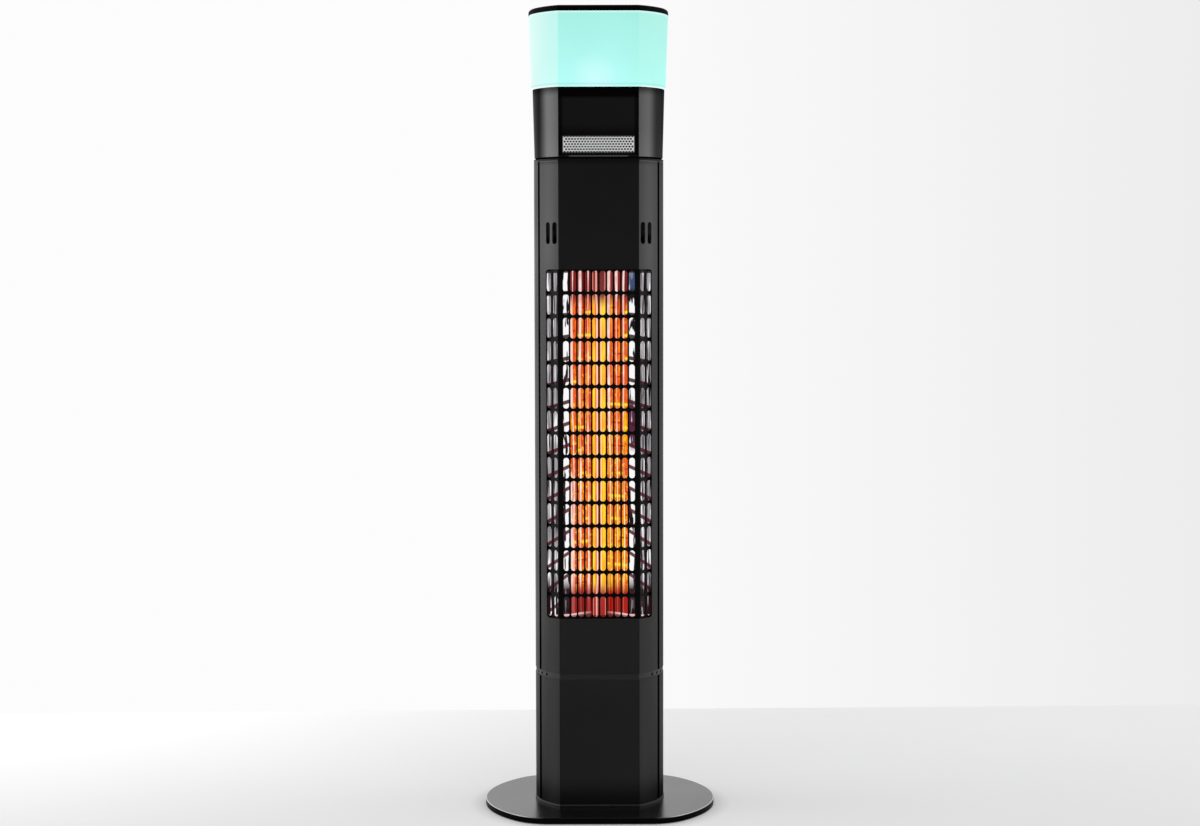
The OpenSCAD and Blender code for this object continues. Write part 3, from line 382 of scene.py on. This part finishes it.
def hot_painted_reflection(t, mottle, row):
    """Painted reflection of the hot spiral: orange and yellow streaks, broken up by flecks, glints and red
    bands.
    """
    hot = t.mix(t.ramp(mottle, 0.38, 0.52, 0, 1), linear(212, 52, 26), linear(245, 96, 30))
    hot = t.paint(hot, linear(255, 146, 18), t.ramp(mottle, 0.54, 0.62, 0, 1))
    hot = t.paint(hot, linear(255, 214, 30), t.ramp(mottle, 0.66, 0.72, 0, 1))
    # Red and yellow flecks, most of them in the lower half
    fleck = t.noise(1, stretch=(330, 0, 130), shift=19.0)
    flecked = t.ramp(t.z, 0.52, 0.64, 1, 0.3)
    hot = t.paint(hot, linear(222, 46, 20), t.ramp(fleck, 0.37, 0.42, 0.9, 0) * flecked)
    hot = t.paint(hot, linear(255, 208, 44), t.ramp(fleck, 0.57, 0.61, 0, 0.9) * flecked)
    # Painted yellow glints low in some cells, red bands in others
    patch = t.noise(1, 2, stretch=(60, 0, 17), shift=83.0)
    glint = t.band(row, 0.08, 0.2, 0.04) * t.ramp(patch, 0.52, 0.56, 0, 1)
    hot = t.paint(hot, linear(255, 226, 40), glint)
    painted_red_band = t.band(row, 0.3, 0.38, 0.03) * t.ramp(patch, 0.42, 0.46, 0.9, 0)
    return t.paint(hot, linear(196, 24, 18), painted_red_band)


def red_painted_reflection(t, mottle):
    """Painted reflection of the spiral's cooler ends: red, darker at the upper one."""
    share = t.ramp(mottle, 0.35, 0.65, 0, 1)
    low = t.mix(share, linear(104, 8, 10), linear(172, 24, 20))
    high = t.mix(share, linear(92, 18, 22), linear(142, 38, 40))
    return t.paint(low, high, t.ramp(t.z, 0.5, 0.6, 0, 1))


def painted_glow_reflection(t, row):
    """Painted reflection of the spiral's glow, which fills the parabola: long streaks side by side, a pale
    painted highlight to each column of the guard.
    """
    right_low = t.ramp(t.z, 0.38, 0.6, 1, 0) * t.ramp(t.x, -0.02, 0.012, 0, 1)
    mottle = t.noise(1, stretch=(260, 0, 12), shift=3.0) + right_low * 0.1
    glow = t.mix(hot_zone(t), red_painted_reflection(t, mottle), hot_painted_reflection(t, mottle, row))
    # In each column a painted highlight, a pale streak of its own place and width, with a dark painted line
    # beside it
    column = t.x / COLUMN
    cell, inside = t.math("FLOOR", column), t.math("FRACT", column)
    middle = t.ramp(t.cell_noise(cell, t.z * 3.0, 1.0), NOISE_LOW, NOISE_HIGH, 0.18, 0.66)
    half = t.ramp(t.cell_noise(cell, t.z * 5.0, 7.0), 0.34, 0.62, 0.02, 0.19) * (1.0 - right_low * 0.55)
    off = abs(inside - middle) - half
    tint = t.noise(1, stretch=(90, 0, 40), shift=37.0)
    pale = t.mix(t.ramp(tint, 0.4, 0.6, 0, 1), linear(236, 176, 168), linear(255, 240, 234))
    pale = t.paint(pale, linear(255, 236, 150), right_low * 0.7)
    fade = t.step(t.z, HOT_LOW, SOFT, 0.1, 0.92, smooth=True)
    glow = t.paint(glow, pale, t.ramp(off, -0.02, 0.03, 1, 0) * fade)
    glow = t.paint(glow, linear(88, 16, 20), t.band(off, 0.06, 0.1, 0.02) * 0.75)
    # Painted highlight, a pale rim on the left, but not at the height where the trough mirrors something red
    clear = 0.85 - t.band(t.z, 0.47, 0.56, 0.01) * 0.85
    rim = t.band(t.x, -0.042, -0.0372, 0.0006) * hot_zone(t) * clear
    return t.paint(glow, linear(252, 226, 218), rim)


def painted_lip_reflection(t, across):
    """Painted reflection on the lips: the white and grey of the room, crossed by dark wedges and the
    mirrored bars of the guard.
    """
    right = t.math("GREATER_THAN", t.x, 0.0)
    on_side = t.step(across, FLAT_HALF, 0.001)
    # The bars in the painted reflection fall outwards, the more the lower they are under the eye
    drop = EYE - t.z
    slope = t.z - WINDOW_LOW - drop * TILT * (GUARD_SIDE - across)
    turn = slope / ROW + (0.58 - drop * 0.5)
    # White in front, with dark wedges, a purple part and a blue one
    wedge_noise = t.noise(1, 2, stretch=(170, 0, 24), shift=47.0)
    wave = t.math("SINE", slope * 16.0 + t.x * 150.0)
    wedge = t.ramp(wedge_noise + wave * 0.07 - right * 0.035, 0.53, 0.57, 0, 1, smooth=True)
    white = t.mix(wedge, linear(250, 247, 248), linear(26, 18, 26))
    purple = right * t.band(t.z, 0.506, 0.572, 0.008) * t.ramp(wedge_noise, 0.4, 0.48, 0, 1)
    white = t.paint(white, linear(84, 38, 60), purple)
    blue = right * t.ramp(t.z + t.x, 0.768, 0.776, 0, 1) * 0.85
    white = t.paint(white, linear(66, 82, 120), blue)
    # Grey streaks behind the guard's folded sides
    tone = t.noise(1, stretch=(420, 0, 16), shift=61.0)
    grey = t.mix(t.ramp(tone, 0.4, 0.57, 0, 1), linear(112, 105, 112), linear(180, 176, 179))
    grey = t.paint(grey, linear(250, 248, 249), t.ramp(tone, 0.58, 0.61, 0, 1))
    grey = t.paint(grey, linear(24, 18, 22), t.ramp(tone, 0.4, 0.43, 1, 0))
    lips = t.paint(white, grey, on_side)
    bar = t.band(t.math("FRACT", turn), 0.41, 0.59, 0.02) * 0.95
    bar_colour = t.mix(t.ramp(t.z, 0.5, 0.7, 1, 0, smooth=True), linear(40, 26, 32), linear(82, 14, 34))
    lips = t.paint(lips, bar_colour, bar)
    # Painted shade: the foot is dark, apart from the palest streaks on the sides
    bright = t.ramp(tone, 0.55, 0.6, 0, 1)
    foot = (1.0 - bright * (1.0 - (1.0 - on_side) * 0.8)) * t.ramp(t.z, 0.308, 0.33, 1, 0)
    return t.paint(lips, linear(40, 16, 22), foot)


def reflector_mirror(name):
    """Polished trough in use, with painted reflections: the spiral's glow fills the parabola, the lips carry
    the white room, and a painted highlight runs along the lower edge.
    """
    t = Look(name)
    across = abs(t.x)
    row = t.math("FRACT", (t.z - WINDOW_LOW) / ROW)
    shade = t.mix(t.step(across, DISH_HALF, 0.0008), painted_glow_reflection(t, row), painted_lip_reflection(t, across))
    # Painted highlight along the trough's lower edge
    rim = t.ramp(t.z, WINDOW_LOW - 0.0002, WINDOW_LOW + 0.0016, 1, 0, smooth=True)
    shade = t.paint(shade, linear(250, 204, 200), rim * t.ramp(across, 0.012, 0.03, 0.2, 1))
    fine = t.noise(240, stretch=(4, 4, 0.4))
    t.set(Base_Color=t.mix(fine, (0.02, 0.02, 0.021), (0.045, 0.045, 0.046)), Metallic=1.0)
    t.set(Roughness=t.ramp(fine, NOISE_LOW, NOISE_HIGH, 0.12, 0.22))
    t.set(Emission_Color=shade, Emission_Strength=1.0)
    t.bump((t.noise(26, stretch=(1, 1, 0.6)), 0.0006), (fine, 0.00003))
    return t


def end_plate(name):
    """The trough's ends: the same sheet, darkened by heat."""
    t = Look(name)
    fine = t.noise(300)
    t.set(Base_Color=t.mix(fine, (0.05, 0.04, 0.045), (0.12, 0.1, 0.105)), Metallic=1.0)
    t.set(Roughness=t.ramp(fine, NOISE_LOW, NOISE_HIGH, 0.16, 0.3))
    t.bump((fine, 0.00004), edge=0.0002)
    return t


def quartz(name):
    """Clear tube full of the spiral's glow, painted on it: yellow flanks, an orange core, pale streaks of
    painted highlight and dark painted lines along it.
    """
    t = Look(name)
    mottle = t.noise(1, stretch=(190, 0, 34), shift=5.0)
    core = t.mix(t.ramp(mottle, 0.4, 0.62, 0, 1), linear(248, 84, 8), linear(255, 150, 10))
    flank = t.mix(t.ramp(mottle, 0.35, 0.6, 0, 1), linear(255, 168, 6), linear(255, 222, 20))
    shade = t.mix(t.ramp(abs(t.x + 0.0012), 0.0038, 0.005, 0, 1, smooth=True), core, flank)
    shade = t.paint(shade, linear(255, 246, 200), t.band(t.x, 0.0022, 0.0034, 0.0004) * 0.85)
    shade = t.paint(shade, linear(176, 70, 10), t.band(t.x, 0.0041, 0.0046, 0.0003) * 0.7)
    shade = t.paint(shade, linear(255, 226, 210), t.band(t.x, -0.0036, -0.0018, 0.0005) * 0.9)
    shade = t.paint(shade, linear(150, 30, 16), t.band(t.x, -0.0046, -0.004, 0.0003) * 0.7)
    # Its cooler ends, red, with pale painted highlights on the left and along both edges
    red = t.mix(t.ramp(t.z, 0.4, 0.6, 0, 1), linear(150, 14, 16), linear(104, 16, 18))
    red = t.paint(red, linear(240, 170, 160), t.band(t.x, -0.0048, -0.0028, 0.0004))
    red = t.paint(red, linear(228, 120, 112), t.ramp(abs(t.x), 0.0074, 0.0082, 0, 1))
    shade = t.mix(hot_zone(t), red, shade)
    t.set(Base_Color=(0.3, 0.2, 0.15), Roughness=0.08, IOR=1.46)
    t.set(Transmission_Weight=0.12, Specular_IOR_Level=0.1)
    t.set(Emission_Color=shade, Emission_Strength=0.92)
    t.bump((t.noise(120, stretch=(1, 1, 0.2)), 0.00004))
    return t


def diffuser(name):
    """Opal lamp body, lit from inside: paler on the left arc, brightest low in the middle."""
    t = Look(name)
    high = t.ramp(t.z, 1.0, 1.1, 0, 1)
    front = t.mix(t.math("POWER", high, 1.4), linear(181, 254, 249), linear(166, 239, 227))
    front_right = t.mix(high, linear(178, 253, 243), linear(165, 238, 226))
    front = t.mix(t.ramp(t.x, 0.02, 0.056, 0, 1), front, front_right)
    hot_spot = t.ramp(t.distance(LAMP_BRIGHT), 0.0, 0.042, 0.75, 0, smooth=True)
    front = t.paint(front, linear(208, 255, 254), hot_spot)
    left = t.mix(high, linear(201, 254, 247), linear(193, 244, 237))
    left = t.paint(left, linear(222, 246, 241), t.ramp(t.x, -0.098, -0.06, 0.8, 0, smooth=True))
    right = t.mix(high, linear(180, 253, 243), linear(174, 239, 228))
    shade = t.mix(t.step(t.x, -LAMP_FLAT, 0.0007, smooth=True), left, front)
    shade = t.paint(shade, right, t.step(t.x, LAMP_FLAT, 0.0007, smooth=True))
    # Painted highlights as pale lines along its foot and its top, and painted shade in a groove over the
    # foot
    arcs = t.ramp(abs(t.x), 0.054, 0.06, 0.15, 0.8)
    foot = t.ramp(t.z, LAMP_LOW + 0.001, LAMP_LOW + 0.0022, 1, 0) * arcs
    shade = t.paint(shade, linear(246, 252, 251), foot)
    top = t.ramp(t.z, LAMP_TOP - 0.0032, LAMP_TOP - 0.0012, 0, 0.7)
    shade = t.paint(shade, linear(222, 254, 247), top)
    groove = t.ramp(t.band(t.z, LAMP_LOW + 0.0026, LAMP_LOW + 0.005, 0.0008), 0, 1, 1, 0.9)
    t.set(Base_Color=(0.02, 0.03, 0.03), Roughness=0.55, Specular_IOR_Level=0.1)
    t.set(Emission_Color=shade, Emission_Strength=groove * t.spot(14, 3, 0.96, 1.0))
    t.bump((t.noise(900, 2), 0.00001))
    return t


# Each look's recipe and values; the names are the record's material slots, and three looks of their own
DARK_RED = (0.2, 0.012, 0.01)
# A level or glint given as a function paints shine, shade or a highlight by place
LOOKS = {
    "housing_paint": (
        coated,
        {
            "colour": (0.0045, 0.0045, 0.0047), "rough": 0.4,
            "level": housing_painted_shine, "glint": housing_painted_glint,
        },
    ),
    "head_paint": (
        coated,
        {
            "colour": (0.004, 0.004, 0.0042), "rough": 0.33, "depth": 0.00001,
            "level": head_painted_shine, "vary": 0.03,
        },
    ),
    "panel_gloss": (
        coated,
        {
            "colour": (0.0018, 0.0018, 0.002), "rough": 0.1, "grain": 300, "depth": 0.000003,
            "level": panel_painted_shine, "vary": 0.02, "dusty": 0.01, "glint": panel_painted_glint,
        },
    ),
    "base_paint": (
        coated,
        {
            "colour": (0.0035, 0.0035, 0.0036), "rough": 0.27, "grain": 900, "depth": 0.000004,
            "level": base_painted_shine, "vary": 0.03, "dusty": 0.03, "glint": base_painted_glint,
        },
    ),
    "collar_trim": (
        coated,
        {
            "colour": (0.003, 0.003, 0.0031), "rough": 0.43, "grain": 1500, "depth": 0.000015,
            "level": collar_painted_shine, "dusty": 0,
        },
    ),
    "black_trim": (
        coated,
        {
            "colour": (0.005, 0.005, 0.0052), "rough": 0.42, "grain": 1500, "depth": 0.000015,
            "edge": 0.0004,
        },
    ),
    "ring_plastic": (
        coated,
        {
            "colour": (0.02, 0.02, 0.0204), "rough": 0.47, "grain": 1500, "depth": 0.000015,
            "edge": 0.0004, "level": 0.42,
        },
    ),
    "groove_black": (
        coated,
        {"colour": (0.002, 0.002, 0.002), "rough": 0.6, "grain": 1500, "level": 0.15},
    ),
    "guard_black": (
        coated,
        {
            "colour": (0.0015, 0.0013, 0.0013), "rough": 0.5, "grain": 1300, "edge": 0.0004,
            "level": 0.12,
        },
    ),
    "lid_plastic": (
        coated,
        {
            "colour": (0.0012, 0.0012, 0.0012), "rough": 0.55, "grain": 1500, "depth": 0.000004,
            "edge": 0.001, "level": 0.02, "dusty": 0,
        },
    ),
    "rocker_black": (
        coated,
        {"colour": (0.006, 0.006, 0.006), "rough": 0.2, "grain": 900, "depth": 0.000005},
    ),
    "dark_screw": (metal, {"colour": (0.12, 0.12, 0.125), "rough": 0.42, "stretch": (1, 1, 1)}),
    "zinc": (metal, {"colour": (0.6, 0.61, 0.63), "rough": 0.34, "stretch": (1, 1, 8)}),
    "galvanised": (metal, {"colour": (0.55, 0.56, 0.58), "rough": 0.38}),
    "brass": (metal, {"colour": (0.72, 0.55, 0.27), "rough": 0.3, "stretch": (1, 8, 1)}),
    "rubber": (matte, {"colour": (0.014, 0.014, 0.014), "rough": 0.78}),
    "white_plastic": (matte, {"colour": (0.82, 0.82, 0.8), "rough": 0.5}),
    "ceramic": (matte, {"colour": (0.8, 0.77, 0.7), "rough": 0.7}),
    "board_green": (matte, {"colour": (0.02, 0.12, 0.05), "rough": 0.35}),
    "cone_paper": (
        matte,
        {"colour": (0.03, 0.03, 0.033), "rough": 0.85, "grain": 900, "depth": 0.0001},
    ),
    "led_lens": (matte, {"colour": (0.9, 0.88, 0.6), "rough": 0.25}),
    "glowing_carbon": (
        glowing,
        {
            "low": (0.5, 0.02, 0.01), "middle": ((1.0, 0.2, 0.008), (1.0, 0.5, 0.03)), "top": DARK_RED,
            "z_low": 0.31, "z_top": 0.712, "strength": 0.5,
        },
    ),
    "dark_red_glow": (
        glowing,
        {
            "low": (0.62, 0.022, 0.012), "middle": (DARK_RED, (0.3, 0.02, 0.01)), "top": DARK_RED,
            "z_low": 0.4, "z_top": 0.6,
        },
    ),
    "grille_steel": (grille_steel, {}),
    "reflector_mirror": (reflector_mirror, {}),
    "end_plate": (end_plate, {}),
    "quartz": (quartz, {}),
    "diffuser": (diffuser, {}),
}
# Nodes whose look differs from that of their record's slot
OWN_LOOK = {"head_shell": "head_paint", "collar": "collar_trim", "reflector_plates": "end_plate"}

materials = {name: make(name, **values).owner for name, (make, values) in LOOKS.items()}
slots = {part["node"]: part["material_slot"] for part in frame["record"]["subparts"]}
for name, node in frame["nodes"].items():
    node.data.materials.clear()
    node.data.materials.append(materials[OWN_LOOK.get(name, slots[name])])


def plane(name, corners, material):
    """A flat piece of the studio."""
    mesh = bpy.data.meshes.new(name)
    mesh.from_pydata(corners, [], [tuple(range(len(corners)))])
    mesh.materials.append(material)
    made = bpy.data.objects.new(name, mesh)
    scene.collection.objects.link(made)
    return made


def seen_rays(t):
    """1 for rays from the camera, a mirror or glass, 0 for those that light the object."""
    outputs = t.nodes.new("ShaderNodeLightPath").outputs
    names = ("Is Camera Ray", "Is Glossy Ray", "Is Transmission Ray")
    from_camera, from_mirror, from_glass = (Value(t, outputs[name]) for name in names)
    return t.math("MAXIMUM", t.math("MAXIMUM", from_camera, from_mirror), from_glass)


def floor_material():
    """White floor, painted brighter towards the wall and to the left, that keeps the object's shadow."""
    t = Tree(bpy.data.materials.new("floor"), "ShaderNodeOutputMaterial")
    # Painted light: a pool around FLOOR_BRIGHT, and brighter towards the wall
    near = t.ramp(t.distance(FLOOR_BRIGHT), 0.75, 1.9, 0.58, 0.375, smooth=True)
    deep = t.ramp(t.y, -0.1, 0.66, -0.05, 0.02)
    # Painted soft shadow that hugs the base plate
    painted_contact_shadow = t.ramp(t.distance((0, 0, 0)), 0.155, 0.19, 0.55, 1, smooth=True)
    tone = (near + deep) * t.spot(1.5, 3, 0.98, 1.02) * painted_contact_shadow
    both = t.nodes.new("ShaderNodeAddShader")
    t.plug(t.add("BsdfDiffuse", "BSDF", Color=(0.62, 0.62, 0.625)), both.inputs[0])
    t.plug(t.add("Emission", "Emission", Strength=tone * seen_rays(t)), both.inputs[1])
    t.plug(Value(t, both.outputs[0]), t.surface)
    return t.owner


def flag(name, corners, level):
    """A studio card that only mirrors see: it darkens what the housings reflect."""
    t = Look(name)
    t.set(Base_Color=(0.01, 0.01, 0.01), Roughness=1.0, Specular_IOR_Level=0.0)
    t.set(Emission_Color=WHITE, Emission_Strength=t.spot(2, 2, level * 0.9, level * 1.1))
    card = plane(name, corners, t.owner)
    for kind in ("camera", "shadow", "diffuse", "transmission"):
        setattr(card, "visible_" + kind, False)


def upright(left, right, y, low, top):
    """Corners of a card that stands across the view."""
    return [(left, y, low), (right, y, low), (right, y, top), (left, y, top)]


def lying(left, right, near, far, z):
    """Corners of a card that lies flat."""
    return [(left, near, z), (right, near, z), (right, far, z), (left, far, z)]


# The floor's far edge is the horizon; the second flag lies just over the floor, in front of the plate
plane("floor", [(-5, -8, 0), (5, -8, 0), (5, 0.79, 0), (-5, 0.54, 0)], floor_material())
flag("front_flag", upright(-5, 5, -4.6, -1, 6), 0.17)
flag("floor_flag", lying(-0.5, 0.5, -4.5, -0.16, 0.002), 0.12)
flag("right_flag", upright(0.35, 2.2, 1.4, -0.2, 3), 0.5)

# The wall is the world, a little darker to the right, as in the photo
scene.world = bpy.data.worlds.new("studio")
sky = Tree(scene.world, "ShaderNodeOutputWorld", "Generated")
wall = sky.ramp(sky.x, -0.02, 0.26, WALL_LEFT, WALL_RIGHT)
strength = sky.ramp(seen_rays(sky), 0, 1, SKY_LIGHT, wall)
sky.plug(sky.add("Background", "Background", Color=WHITE, Strength=strength), sky.surface)


def lamp(name, at, target, size, power):
    """A soft box that lights the object and isn't seen itself."""
    data = bpy.data.lights.new(name, "AREA")
    data.shape = "RECTANGLE"
    data.size, data.size_y = size
    data.energy = power
    made = bpy.data.objects.new(name, data)
    scene.collection.objects.link(made)
    made.location = at
    made.rotation_euler = (Vector(target) - Vector(at)).to_track_quat("-Z", "Y").to_euler()
    made.visible_camera = False


lamp("left_box", (-2.3, 0.1, 1.35), (0, 0, 0.75), (1.5, 1.7), 15)
lamp("right_box", (2.4, 0.1, 1.3), (0, 0, 0.75), (1.5, 1.7), 9)
lamp("top_box", (0, -0.6, 2.8), (0, 0, 0.2), (2.4, 1.8), 15)
